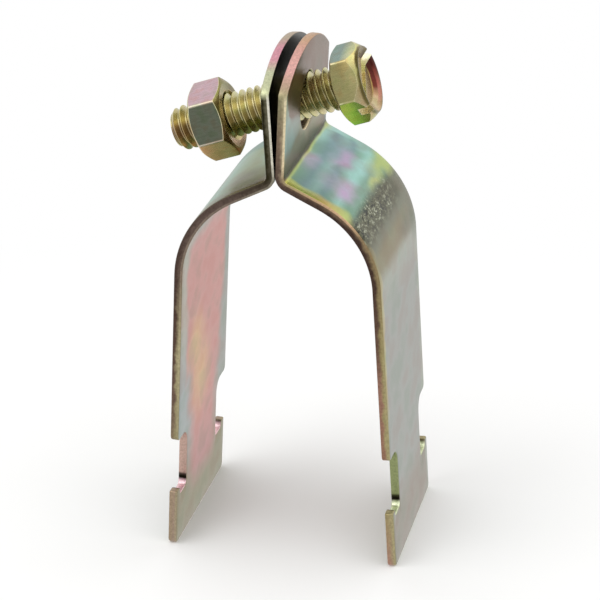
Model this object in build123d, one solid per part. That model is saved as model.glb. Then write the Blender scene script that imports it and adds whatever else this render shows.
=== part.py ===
from build123d import *
import os
from math import cos, radians, sin, sqrt, tan

# Two part pipe strap for strut channel: two mirrored halves bent from flat strip, drawn together by
# a slotted hex head screw and a hex nut. Millimetres. The origin is the centre of the pipe seat,
# +Y runs along the pipe and +Z points up from the channel to the ears.

# Flat strip that both halves are cut and bent from
STRIP_WIDTH = 31.75
SHEET = 1.52
EDGE_BREAK = 0.2

# Pipe seat, shoulders and ears, seen from the side
PIPE_RADIUS = 16.7
SHOULDER_SLOPE = 26.2
BEND_RADIUS = 1.2
EAR_LEAN = 3.0
EAR_SIDE = 14.3
EAR_CROWN = 5.0
HALF_CLEARANCE = 0.1

# Legs, with a hooked notch in each side of each leg
LEG_SPLAY = 3.1
LEG_STRAIGHT = 32.0
NOTCH_HEIGHT = 10.1
NOTCH_DEPTH = 5.9
NOTCH_CORNER = 2.5
HOOK_WIDTH = 1.9
HOOK_STRAIGHT = 0.15
HOOK_FILLET = 0.8
TIP_RADIUS = 0.35
TAB_HEIGHT = 10.6
TAB_CORNER = 1.0

# Screw and nut, 5/16 inch coarse thread with its crests as the outside of a plain bar
THREAD_DIAMETER = 7.8
SCREW_LENGTH = 31.0
SCREW_POINT = 0.7
SCREW_TILT = 18.4
AXIS_HEIGHT = 8.6
HEAD_STANDOFF = 8.5
HEX_ACROSS_FLATS = 12.3
HEX_EDGE_RADIUS = 0.35
FACE_CHAMFER = 30.0
HEAD_HEIGHT = 5.2
HEAD_CORNER_ANGLE = 49.3
HEAD_CHAMFER = 55.0
HEAD_RIM_DIAMETER = 11.5
HEAD_SEAT_DIAMETER = 11.6
DISH_DIAMETER = 11.0
DISH_FLOOR_DIAMETER = 7.8
DISH_DEPTH = 1.2
SLOT_WIDTH = 1.9
SLOT_DEPTH = 2.2
NUT_THICKNESS = 6.1
NUT_STANDOFF = 11.9
NUT_CORNER_ANGLE = 40.9
NUT_FACE_DIAMETER = 11.6
NUT_COUNTERSINK = 0.45
THREAD_CLEARANCE = 0.05
HOLE_CLEARANCE = 0.2

# Directions in the X, Z plane: down each straight stretch, and across it from the pipe side outwards
ear_down = Vector(-sin(radians(EAR_LEAN)), 0, -cos(radians(EAR_LEAN)))
ear_out = Vector(cos(radians(EAR_LEAN)), 0, -sin(radians(EAR_LEAN)))
shoulder_down = Vector(cos(radians(SHOULDER_SLOPE)), 0, -sin(radians(SHOULDER_SLOPE)))
shoulder_out = Vector(sin(radians(SHOULDER_SLOPE)), 0, cos(radians(SHOULDER_SLOPE)))
leg_down = Vector(sin(radians(LEG_SPLAY)), 0, -cos(radians(LEG_SPLAY)))
leg_out = Vector(cos(radians(LEG_SPLAY)), 0, sin(radians(LEG_SPLAY)))

# Corners of the side view on the pipe side. The shoulder is as long as it takes to bring the ear's
# foot to the middle plane.
outer_bend = BEND_RADIUS + SHEET
seat_start = shoulder_out * PIPE_RADIUS
seat_end = leg_out * PIPE_RADIUS
bend_reach = outer_bend * (shoulder_out.X - ear_out.X) - HALF_CLEARANCE / 2
shoulder_run = (seat_start.X + bend_reach) / shoulder_down.X
shoulder_start = seat_start - shoulder_down * shoulder_run
bend_centre = shoulder_start + shoulder_out * outer_bend
ear_foot = bend_centre - ear_out * outer_bend

# Where the tilted screw crosses the middle of each ear, and the hole that lets it through both
axis_base = Vector(0, 0, ear_foot.Z + AXIS_HEIGHT)
axis_slope = tan(radians(SCREW_TILT))


def crossing_height(side):
    """Height up the ear, from its foot, at which the screw's axis crosses the middle of the sheet."""
    middle = ear_foot + ear_out * (SHEET / 2)
    level = axis_base.Z + side * axis_slope * middle.X - middle.Z
    return level / (-ear_down.Z + side * axis_slope * ear_down.X)


right_crossing = crossing_height(1)
left_crossing = crossing_height(-1)
hole_height = (right_crossing + left_crossing) / 2
steepest = radians(SCREW_TILT + EAR_LEAN)
thread_oval = THREAD_DIAMETER / cos(steepest) + SHEET * tan(steepest)
hole_diameter = thread_oval + (right_crossing - left_crossing) + 2 * HOLE_CLEARANCE


def ear_plate():
    """Flat ear with straight sides, an arched top edge and the screw's hole."""
    half = STRIP_WIDTH / 2
    flat = Plane(origin=ear_foot, x_dir=(0, 1, 0), z_dir=ear_out)
    sides = Polyline((-half, EAR_SIDE), (-half, 0), (half, 0), (half, EAR_SIDE))
    crown = ThreePointArc((half, EAR_SIDE), (0, EAR_SIDE + EAR_CROWN), (-half, EAR_SIDE))
    outline = make_face(sides + crown) - Pos(0, hole_height) * Circle(hole_diameter / 2)
    return extrude(flat * outline, SHEET)


def bent_web():
    """Bend at the ear's foot, sloping shoulder and quarter turn round the pipe, as one bent strip."""
    side_view = Plane.XZ

    def flat_point(point):
        return (point.X, point.Z)

    def arc(centre, radius, start_out, end_out):
        middle_out = (start_out + end_out).normalized()
        points = [centre + across * radius for across in (start_out, middle_out, end_out)]
        return ThreePointArc(*[flat_point(point) for point in points])

    origin = Vector(0, 0, 0)
    sheet_out = shoulder_out * SHEET
    edges = [
        arc(bend_centre, outer_bend, ear_out * -1, shoulder_out * -1),
        Line(flat_point(shoulder_start), flat_point(seat_start)),
        arc(origin, PIPE_RADIUS, shoulder_out, leg_out),
        Line(flat_point(seat_end), flat_point(seat_end + leg_out * SHEET)),
        arc(origin, PIPE_RADIUS + SHEET, leg_out, shoulder_out),
        Line(flat_point(seat_start + sheet_out), flat_point(shoulder_start + sheet_out)),
        arc(bend_centre, BEND_RADIUS, shoulder_out * -1, ear_out * -1),
        Line(flat_point(ear_foot + ear_out * SHEET), flat_point(ear_foot)),
    ]
    section = side_view * make_face(Curve() + edges)
    return extrude(section, STRIP_WIDTH / 2, both=True)


def leg_outline():
    """Half of the leg's flat outline from the middle line outwards, with its hooked notch and tab."""
    half = STRIP_WIDTH / 2
    neck = half - NOTCH_DEPTH
    hook_inside = half - HOOK_WIDTH
    notch_top = -LEG_STRAIGHT
    hook_top = notch_top - NOTCH_HEIGHT
    pocket_floor = hook_top - TIP_RADIUS - HOOK_STRAIGHT - HOOK_FILLET
    foot = hook_top - TAB_HEIGHT
    corners = [
        (0, 0),
        (half, 0),
        (half, notch_top),
        (neck, notch_top),
        (neck, pocket_floor),
        (hook_inside, pocket_floor),
        (hook_inside, hook_top),
        (half, hook_top),
        (half, foot),
        (0, foot),
    ]
    rounding = [
        (corners[2], TAB_CORNER),
        (corners[3], NOTCH_CORNER),
        (corners[4], HOOK_FILLET),
        (corners[5], HOOK_FILLET),
        (corners[6], TIP_RADIUS),
        (corners[7], TIP_RADIUS),
        (corners[8], TAB_CORNER),
    ]
    outline = make_face(Polyline(*corners, close=True))
    for corner, radius in rounding:
        spot = Vector(corner[0], corner[1], 0)
        nearest = outline.vertices().sort_by_distance(spot)[0]
        outline = fillet(nearest, radius)
    return outline


def leg_plate():
    """Flat leg with a notch and a hook at both edges."""
    half_leg = leg_outline()
    outline = half_leg + mirror(half_leg, about=Plane.YZ)
    flat = Plane(origin=seat_end, x_dir=(0, 1, 0), z_dir=leg_out)
    return extrude(flat * outline, SHEET)


def is_sheet_side(face):
    """True for the two broad sides of the sheet, and false for the faces cut through it."""
    if face.geom_type == GeomType.CYLINDER:
        return face.axis_of_rotation.is_parallel(Axis.Y)
    normal = Axis(face.center(), face.normal_at())
    return any(normal.is_parallel(Axis((0, 0, 0), out)) for out in (ear_out, shoulder_out, leg_out))


def strap_half():
    """Right half of the strap: ear, bend, shoulder, pipe seat and leg in one piece of sheet."""
    half = (ear_plate() + bent_web() + leg_plate()).clean()
    side_edges = [edge for face in half.faces().filter_by(is_sheet_side) for edge in face.edges()]
    rims = [edge for edge in side_edges if side_edges.count(edge) == 1]
    return chamfer(rims, EDGE_BREAK)


def along_axis(shape):
    """Places a shape built along +X, nut to head, on the tilted axis of the screw."""
    return Pos(*axis_base) * Rot(0, -SCREW_TILT, 0) * shape


def hex_block(start, length, corner_angle, start_face, end_face, end_chamfer):
    """Hexagonal block along +X whose corners are cut back by a cone at each end."""
    corner_radius = HEX_ACROSS_FLATS / sqrt(3)
    hexagon = Rot(0, 0, -corner_angle) * RegularPolygon(corner_radius, 6)
    block = extrude(Plane.YZ.offset(start) * hexagon, length)
    block = fillet(block.edges().filter_by(Axis.X), HEX_EDGE_RADIUS)
    start_drop = tan(radians(FACE_CHAMFER)) * (corner_radius - start_face / 2)
    end_drop = tan(radians(end_chamfer)) * (corner_radius - end_face / 2)
    half_section = Polyline(
        (start, 0),
        (start, start_face / 2),
        (start + start_drop, corner_radius),
        (start + length - end_drop, corner_radius),
        (start + length, end_face / 2),
        (start + length, 0),
        close=True,
    )
    envelope = revolve(Plane.XZ * make_face(half_section), Axis.X)
    return block & envelope


def bar(start, length, radius):
    """Round bar along +X."""
    return extrude(Plane.YZ.offset(start) * Circle(radius), length)


def screw():
    """Hex head screw with a dished, slotted face, its thread left as a plain bar at the crests."""
    tip = HEAD_STANDOFF - SCREW_LENGTH
    shank = bar(tip, SCREW_LENGTH, THREAD_DIAMETER / 2)
    shank = chamfer(shank.edges().sort_by(Axis.X)[0], SCREW_POINT)
    ends = (HEAD_SEAT_DIAMETER, HEAD_RIM_DIAMETER)
    head = hex_block(HEAD_STANDOFF, HEAD_HEIGHT, HEAD_CORNER_ANGLE, *ends, HEAD_CHAMFER)
    face = Plane.YZ.offset(HEAD_STANDOFF + HEAD_HEIGHT)
    from_floor = (Align.CENTER, Align.CENTER, Align.MIN)
    dish = Cone(DISH_FLOOR_DIAMETER / 2, DISH_DIAMETER / 2, DISH_DEPTH, align=from_floor)
    slot = face * Rot(0, 0, 90 - HEAD_CORNER_ANGLE) * Rectangle(2 * HEX_ACROSS_FLATS, SLOT_WIDTH)
    head = head - face.offset(-DISH_DEPTH) * dish - extrude(slot, -SLOT_DEPTH)
    return along_axis(shank + head)


def hex_nut():
    """Hex nut with both faces chamfered and a countersunk bore."""
    start = -NUT_STANDOFF - NUT_THICKNESS
    ends = (NUT_FACE_DIAMETER, NUT_FACE_DIAMETER)
    block = hex_block(start, NUT_THICKNESS, NUT_CORNER_ANGLE, *ends, FACE_CHAMFER)
    nut = block - bar(start, NUT_THICKNESS, THREAD_DIAMETER / 2 + THREAD_CLEARANCE)
    bore_rims = nut.edges().filter_by(GeomType.CIRCLE).sort_by(SortBy.RADIUS)[:2]
    return along_axis(chamfer(bore_rims, NUT_COUNTERSINK))


right = strap_half()
parts = {
    "strap_right": right,
    "strap_left": mirror(right, about=Plane.YZ),
    "screw": screw(),
    "hex_nut": hex_nut(),
}
os.makedirs("parts", exist_ok=True)
for node, shape in parts.items():
    export_step(shape, f"parts/{node}.step")
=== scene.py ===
from math import asin, atan2, cos, hypot, pi, radians, sin, tan

import bmesh
import bpy
from mathutils import Matrix, Vector


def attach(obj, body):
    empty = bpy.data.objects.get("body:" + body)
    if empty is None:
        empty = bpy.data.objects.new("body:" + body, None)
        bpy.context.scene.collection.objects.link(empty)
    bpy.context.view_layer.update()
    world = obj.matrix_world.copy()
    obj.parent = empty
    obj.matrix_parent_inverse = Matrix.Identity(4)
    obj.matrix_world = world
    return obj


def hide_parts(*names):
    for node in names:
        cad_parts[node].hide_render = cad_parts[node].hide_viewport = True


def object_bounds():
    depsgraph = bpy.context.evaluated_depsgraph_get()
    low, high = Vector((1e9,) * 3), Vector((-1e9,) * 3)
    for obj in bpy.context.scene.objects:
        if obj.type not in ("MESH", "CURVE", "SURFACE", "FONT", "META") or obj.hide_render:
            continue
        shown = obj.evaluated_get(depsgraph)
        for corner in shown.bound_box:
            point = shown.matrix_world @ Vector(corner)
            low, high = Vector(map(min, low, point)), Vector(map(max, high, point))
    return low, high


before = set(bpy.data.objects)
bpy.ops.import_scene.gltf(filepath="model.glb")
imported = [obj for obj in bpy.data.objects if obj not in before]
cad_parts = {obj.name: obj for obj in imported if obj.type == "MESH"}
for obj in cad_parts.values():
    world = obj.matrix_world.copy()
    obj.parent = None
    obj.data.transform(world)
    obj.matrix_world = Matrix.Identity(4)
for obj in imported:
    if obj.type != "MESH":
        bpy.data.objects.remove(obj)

cad_low, cad_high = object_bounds()

# The camera of the photograph: a long lens from the right of the front and a little above, turned
# slightly about its own axis. Its place was worked out from the strap's outlines in the picture.
CAMERA_PLACE = Vector((0.091214, -0.372161, 0.155420))
CAMERA_AZIMUTH = radians(13.737)
CAMERA_ELEVATION = radians(23.178)
CAMERA_ROLL = radians(-0.684)
CAMERA_LENS = 140.55
CAMERA_SENSOR = 36.0

camera_data = bpy.data.cameras.new("camera")
camera_data.lens = CAMERA_LENS
camera_data.sensor_width = CAMERA_SENSOR
camera_data.clip_start = 0.01
camera = bpy.data.objects.new("camera", camera_data)
bpy.context.scene.collection.objects.link(camera)
aim = Matrix.Rotation(CAMERA_AZIMUTH, 4, "Z") @ Matrix.Rotation(pi / 2 - CAMERA_ELEVATION, 4, "X")
camera.matrix_world = Matrix.Translation(CAMERA_PLACE) @ aim @ Matrix.Rotation(CAMERA_ROLL, 4, "Z")
bpy.context.scene.camera = camera
bpy.context.scene.view_settings.view_transform = "Standard"

# Strap halves: each is one blank of 16 gauge steel strip, punched with the screw's hole and the hooked
# notches, then bent at the ear and round the pipe. The left half is the same stamping turned round.
# The punch leaves a rolled rim on the outer side of the sheet and a tighter one on the pipe side.
MILLIMETRE = 0.001
STRIP_WIDTH = 31.75
SHEET = 1.52
ROLLED_RIM = 0.34
BURR_RIM = 0.16
PIPE_RADIUS = 16.7
SHOULDER_SLOPE = radians(26.2)
SHOULDER_RUN = 6.473
BEND_RADIUS = 1.2
EAR_LEAN = radians(3.0)
EAR_SIDE = 14.3
EAR_CROWN = 5.0
EAR_FOOT = Vector((0.05, 0, 20.4249))
HOLE_RADIUS = 5.107
HOLE_HEIGHT = 8.659
LEG_SPLAY = radians(3.1)
LEG_STRAIGHT = 32.0
NOTCH_HEIGHT = 10.1
NOTCH_DEPTH = 5.9
NOTCH_CORNER = 2.5
HOOK_WIDTH = 1.9
HOOK_DROP = 1.3
HOOK_FILLET = 0.8
TIP_RADIUS = 0.35
TAB_HEIGHT = 10.6
TAB_CORNER = 1.0
CORNER_STEPS = 6
RIM_STEPS = 3
ARC_STEPS = 24
EAR_CUTS = 6
SHOULDER_CUTS = 3
LEG_CUTS = 16
LENGTHWISE_CUTS = (2.5, 5.0, 7.5, 9.0, 10.8, 12.6, 14.2)
BEND_BULGE = 0.22
BULGE_MARGIN = 0.15
BULGE_PLY = 0.4
MERGE_DISTANCE = 0.001
SAME_PLACE = 1e-5
WALL_NORMAL = 0.5
RIM_NORMAL = 0.93

half_width = STRIP_WIDTH / 2
outer_bend = BEND_RADIUS + SHEET
ear_turn = pi / 2 - SHOULDER_SLOPE + EAR_LEAN
seat_turn = pi / 2 - SHOULDER_SLOPE - LEG_SPLAY
bend_end = outer_bend * ear_turn
seat_start = bend_end + SHOULDER_RUN
seat_end = seat_start + PIPE_RADIUS * seat_turn
notch_top = seat_end + LEG_STRAIGHT
hook_top = notch_top + NOTCH_HEIGHT
strip_end = hook_top + TAB_HEIGHT
ear_top = -EAR_SIDE - EAR_CROWN


def flat_blank():
    """Half of the flat blank as one face: X runs from the ear's top to the foot, Y out to the edge."""
    bm = bmesh.new()
    crown_radius = (half_width**2 + EAR_CROWN**2) / (2 * EAR_CROWN)
    crown_centre = Vector((ear_top + crown_radius, 0, 0))
    crown = [bm.verts.new((ear_top, 0, 0))]
    bmesh.ops.spin(bm, geom=crown, cent=crown_centre, axis=(0, 0, -1),
                   angle=asin(half_width / crown_radius), steps=ARC_STEPS // 2)
    neck = half_width - NOTCH_DEPTH
    hook_inside = half_width - HOOK_WIDTH
    corners = [
        (notch_top, half_width, TAB_CORNER),
        (notch_top, neck, NOTCH_CORNER),
        (hook_top + HOOK_DROP, neck, HOOK_FILLET),
        (hook_top + HOOK_DROP, hook_inside, HOOK_FILLET),
        (hook_top, hook_inside, TIP_RADIUS),
        (hook_top, half_width, TIP_RADIUS),
        (strip_end, half_width, TAB_CORNER),
        (strip_end, 0, 0),
    ]
    for x, y, radius in corners:
        bm.verts.new((x, y, 0))
    hole = [bm.verts.new((HOLE_RADIUS - HOLE_HEIGHT, 0, 0))]
    bmesh.ops.spin(bm, geom=hole, cent=(-HOLE_HEIGHT, 0, 0), axis=(0, 0, 1), angle=pi, steps=ARC_STEPS)
    bm.verts.ensure_lookup_table()
    bm.faces.new(bm.verts)
    for x, y, radius in corners:
        if radius:
            corner = min(bm.verts, key=lambda v: (v.co - Vector((x, y, 0))).length)
            bmesh.ops.bevel(bm, geom=[corner], offset=radius, offset_type="OFFSET", segments=CORNER_STEPS,
                            profile=0.5, affect="VERTICES", material=-1)
    return bm


def strap_blank():
    """Half of the blank as a sheet with rounded rims, left open along the middle, where it is mirrored."""
    bm = flat_blank()
    base = bm.faces[:]
    grown = bmesh.ops.extrude_face_region(bm, geom=base, use_keep_orig=True)["geom"]
    top = [item for item in grown if isinstance(item, bmesh.types.BMVert)]
    bmesh.ops.translate(bm, verts=top, vec=(0, 0, SHEET))
    bmesh.ops.recalc_face_normals(bm, faces=bm.faces)
    middle = [face for face in bm.faces if all(abs(v.co.y) < SAME_PLACE for v in face.verts)]
    bmesh.ops.delete(bm, geom=middle, context="FACES_ONLY")
    for rim, height in ((BURR_RIM, 0), (ROLLED_RIM, SHEET)):
        edges = [e for e in bm.edges if len(e.link_faces) == 2
                 and all(abs(v.co.z - height) < SAME_PLACE for v in e.verts)
                 and min(abs(face.normal.z) for face in e.link_faces) < WALL_NORMAL]
        bmesh.ops.bevel(bm, geom=edges, offset=rim, offset_type="OFFSET", segments=RIM_STEPS, profile=0.5,
                        affect="EDGES", material=-1, clamp_overlap=True)
    return bm


def spaced(start, end, steps):
    """Evenly spaced places from start to end, both included."""
    return [start + (end - start) * step / steps for step in range(steps + 1)]


def cut_across(bm, places, direction):
    """Cuts the mesh by planes square to a direction, without taking anything away."""
    for place in places:
        geometry = bm.verts[:] + bm.edges[:] + bm.faces[:]
        bmesh.ops.bisect_plane(bm, geom=geometry, dist=2 * MERGE_DISTANCE, plane_co=direction * place,
                               plane_no=direction)


def bend(bm, flat_place, start, radius, turn, centre_height):
    """Bends the strip past the start line: what lies beyond the bend turns as one with it."""
    centre = Vector((start, 0, centre_height))
    way = -1 if centre_height > 0 else 1
    for vert in bm.verts:
        angle = min(max((flat_place[vert] - start) / radius, 0), turn)
        move = (Matrix.Translation(centre) @ Matrix.Rotation(way * angle, 4, "Y")
                @ Matrix.Translation(-centre) @ Matrix.Translation((-angle * radius, 0, 0)))
        vert.co = move @ vert.co


def piece_from(bm, name):
    """Turns a finished bmesh into an object of the scene."""
    mesh = bpy.data.meshes.new(name)
    bm.to_mesh(mesh)
    bm.free()
    piece = bpy.data.objects.new(name, mesh)
    bpy.context.scene.collection.objects.link(piece)
    return piece


def strap_half(name, body, side):
    """One half of the strap, cut into short lengths, bent and stood up on the right.

    For the left it is mirrored, which turns it round, as it is the same front and back. Its flat layout is
    kept for the patterns, and its materials are the outer side, the pipe side and the sheared edge.
    """
    bm = strap_blank()
    bmesh.ops.mirror(bm, geom=bm.verts[:] + bm.edges[:] + bm.faces[:], matrix=Matrix.Identity(4),
                     merge_dist=MERGE_DISTANCE, axis="Y")
    bmesh.ops.recalc_face_normals(bm, faces=bm.faces)
    turning = [place for start, end in ((0, bend_end), (seat_start, seat_end))
               for place in spaced(start, end, ARC_STEPS)]
    flats = ((ear_top, 0, EAR_CUTS), (bend_end, seat_start, SHOULDER_CUTS), (seat_end, strip_end, LEG_CUTS))
    straight = [place for start, end, cuts in flats for place in spaced(start, end, cuts)[1:-1]]
    cut_across(bm, turning + straight, Vector((1, 0, 0)))
    cut_across(bm, [way * place for place in LENGTHWISE_CUTS for way in (-1, 1)] + [0], Vector((0, 1, 0)))
    for face in bm.faces:
        on_edge = abs(face.normal.z) < RIM_NORMAL
        face.material_index = 2 if on_edge else int(face.normal.z < 0)
    layout = bm.verts.layers.float_vector.new("flat_blank")
    flat_place = {vert: vert.co.x for vert in bm.verts}
    for vert in bm.verts:
        vert[layout] = vert.co
        squeeze = BEND_BULGE * max(0, 1 - abs(vert.co.x - bend_end / 2) / bend_end)
        rim = max(0, abs(vert.co.y) / half_width - 1 + BULGE_MARGIN) / BULGE_MARGIN
        vert.co.y *= 1 + squeeze * rim * (vert.co.z / SHEET - BULGE_PLY) / half_width
    bend(bm, flat_place, seat_start, PIPE_RADIUS, seat_turn, -PIPE_RADIUS)
    bend(bm, flat_place, 0, outer_bend, ear_turn, outer_bend)
    upright = Matrix(((-sin(EAR_LEAN), 0, cos(EAR_LEAN)), (0, 1, 0), (-cos(EAR_LEAN), 0, -sin(EAR_LEAN))))
    bmesh.ops.transform(bm, matrix=Matrix.Translation(EAR_FOOT) @ upright.to_4x4(), verts=bm.verts)
    bmesh.ops.scale(bm, vec=(side * MILLIMETRE, MILLIMETRE, MILLIMETRE), verts=bm.verts)
    if side < 0:
        bmesh.ops.reverse_faces(bm, faces=bm.faces)
    piece = piece_from(bm, name)
    piece.data.shade_smooth()
    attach(piece, body)
    return piece


right_half = strap_half("strap_half_right", "strap_right", 1)
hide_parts("strap_right")
left_half = strap_half("strap_half_left", "strap_left", -1)
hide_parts("strap_left")

# Finish of the strap: electroplated zinc with a yellow chromate film on cold rolled steel. The film is
# thin enough to show interference colours: a tone for each thickness, in soft bands and clouds that
# follow the bends, the cut edges and the way the part hung in the bath. Some tones are painted light
# instead: painted shade between the ears, a painted dark reflection in the ear's bend, and painted
# shadow and reflection of the screw on the right ear.
FILM = {
    "ash": "#969891",
    "warm_ash": "#8c8374",
    "mauve": "#7d6959",
    "dark_mauve": "#78604e",
    "pale_blue": "#93a89f",
    "khaki": "#858060",
    "olive_brown": "#70603f",
    # painted dark reflection in the ear's bend, over an olive film
    "bend_olive_reflection": "#3d370e",
    "moss": "#777965",
    "bronze": "#6f6b53",
    "sage": "#9ca193",
    "straw": "#b1ab84",
    "lemon": "#dcd970",
    "pearl": "#aca698",
    "amber": "#c6aa6a",
    "yellow_green": "#c0ca7c",
    "sea_green": "#82a593",
    "steel_blue": "#79979b",
    "ice": "#a2d0c8",
    "mist": "#8cb1a8",
    "lilac": "#c0a2c4",
    "rose": "#c3877e",
    "peach": "#cfa676",
    "cloud_grey": "#9ba3a1",
    "olive_grey": "#857e5c",
    "olive_green": "#7b8345",
    "dark_moss": "#5d5e45",
    "deep_teal": "#5f8577",
    "deep_rose": "#b27c77",
    # painted shade, on the pipe side between the ears
    "shadow": "#37342a",
}
FLAT_START = -20.0
FLAT_LENGTH = 101.0
# Sizes in millimetres of what the film and the sheet under it show. The sheet's own grain is finer than
# the picture can show, and so are the flecks of its scuffed band, so both are drawn coarser.
FILM_DRIFT = 5.0
FILM_PATCH = (5.0, 6.67, 5.0)
PATCH_SLANT = 0.5
SHEET_GRAIN = 1 / 3
SHEET_WAVE = 8.33
SCUFF_FLECK = (0.588, 1.11, 1.0)
BUMP_DEPTH = 0.06
# How far the drift moves the bands along the strip, and the margins and clouds.
BAND_DRIFT = (1.0, 0, 0)
CLOUD_DRIFT = (4.0, 6.0, 0)
CLOUD_HEIGHT = 9
# A margin of reach 1 starts 10 mm in from the strip's edge and is full 3.5 mm in.
MARGIN_START = 10.0
MARGIN_FULL = 3.5
# The scuffed band is full from the front to 5 mm behind the middle, and has faded 11 mm behind it. It is
# lighter where the film's patches are.
SCUFF_FULL = 5.0
SCUFF_FADED = 11.0
SCUFF_FAINT = 0.15
SCUFF_LIGHT = 0.55
SCUFF_PATCHES = (0.42, 0.52)
SCUFF_DARK = "#0f0f08"
SCUFF_BRIGHT = "#b9bca4"
# A noise mostly runs from 0.3 to 0.7, and hardly ever goes below 0.2 or above 0.8.
NOISE_LOW, NOISE_HIGH = 0.3, 0.7
NOISE_LEAST, NOISE_MOST = 0.2, 0.8
# Plated sheet has a dull gloss, under a fine grain and slow waves left by the rolling.
SHEET_ROUGHNESS = (0.27, 0.38)
SHEET_SHADES = (0.93, 1.08)
SHEET_BUMP = 0.3
WAVE_RELIEF = 5.0
DENT_RELIEF = 6.0


def paint(code):
    """Linear colour of a film tone or an sRGB hex value."""
    code = FILM.get(code, code)
    shares = [int(code[place:place + 2], 16) / 255 for place in (1, 3, 5)]
    return [share / 12.92 if share <= 0.04045 else ((share + 0.055) / 1.055) ** 2.4
            for share in shares] + [1]


def add(tree, kind, inputs, stops=None, **settings):
    """Adds a node with its settings, colour stops and inputs, which are values, sockets or nodes.

    Sockets go by name or number. Map Range takes 0 from between 1 and 2 to between 3 and 4. A Mix is of
    colours, and lays 7 over 6 by the share in 0. A ramp is read with its factor in 0.
    """
    node = tree.nodes.new("ShaderNode" + kind)
    if kind == "Mix":
        node.data_type = "RGBA"
    for name, value in settings.items():
        setattr(node, name, value)
    if stops:
        elements = node.color_ramp.elements
        while len(elements) < len(stops):
            elements.new(1)
        for element, (place, colour) in zip(elements, stops):
            element.position = place
            element.color = paint(colour) if isinstance(colour, str) else (colour, colour, colour, 1)
    for socket, value in inputs.items():
        if isinstance(value, bpy.types.Node):
            value = value.outputs[2 if value.bl_idname == "ShaderNodeMix" else 0]
        if isinstance(value, bpy.types.NodeSocket):
            tree.links.new(value, node.inputs[socket])
        else:
            node.inputs[socket].default_value = value
    return node


def new_material(name):
    """An empty node material with its output, and its node tree."""
    material = bpy.data.materials.new(name)
    material.use_nodes = True
    material.node_tree.nodes.clear()
    return material, material.node_tree


def along(tree, place, stops):
    """Tone or share that changes along the flat strip, from stops at millimetres from the ear's foot."""
    share = add(tree, "MapRange", {0: place, 1: FLAT_START, 2: FLAT_START + FLAT_LENGTH})
    shares = [((mm - FLAT_START) / FLAT_LENGTH, tone) for mm, tone in stops]
    return add(tree, "ValToRGB", {0: share}, stops=shares)


def grained(tree, colour, grain, shades):
    """The colour made lighter and darker by the grain of the surface."""
    shade = add(tree, "MapRange", {0: grain, 1: NOISE_LOW, 2: NOISE_HIGH, 3: shades[0], 4: shades[1]})
    return add(tree, "Mix", {0: 1.0, 6: colour, 7: shade}, blend_type="MULTIPLY")


def plated(tree, colour, rough, height, strength):
    """Closes a material as plated metal that shows its film's colour in every reflection."""
    bump = add(tree, "Bump", {"Height": height, "Strength": strength, "Distance": BUMP_DEPTH * MILLIMETRE})
    shader = add(tree, "BsdfPrincipled", {"Base Color": colour, "Metallic": 1.0, "Roughness": rough,
                                          "Normal": bump})
    add(tree, "OutputMaterial", {0: shader})


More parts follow.
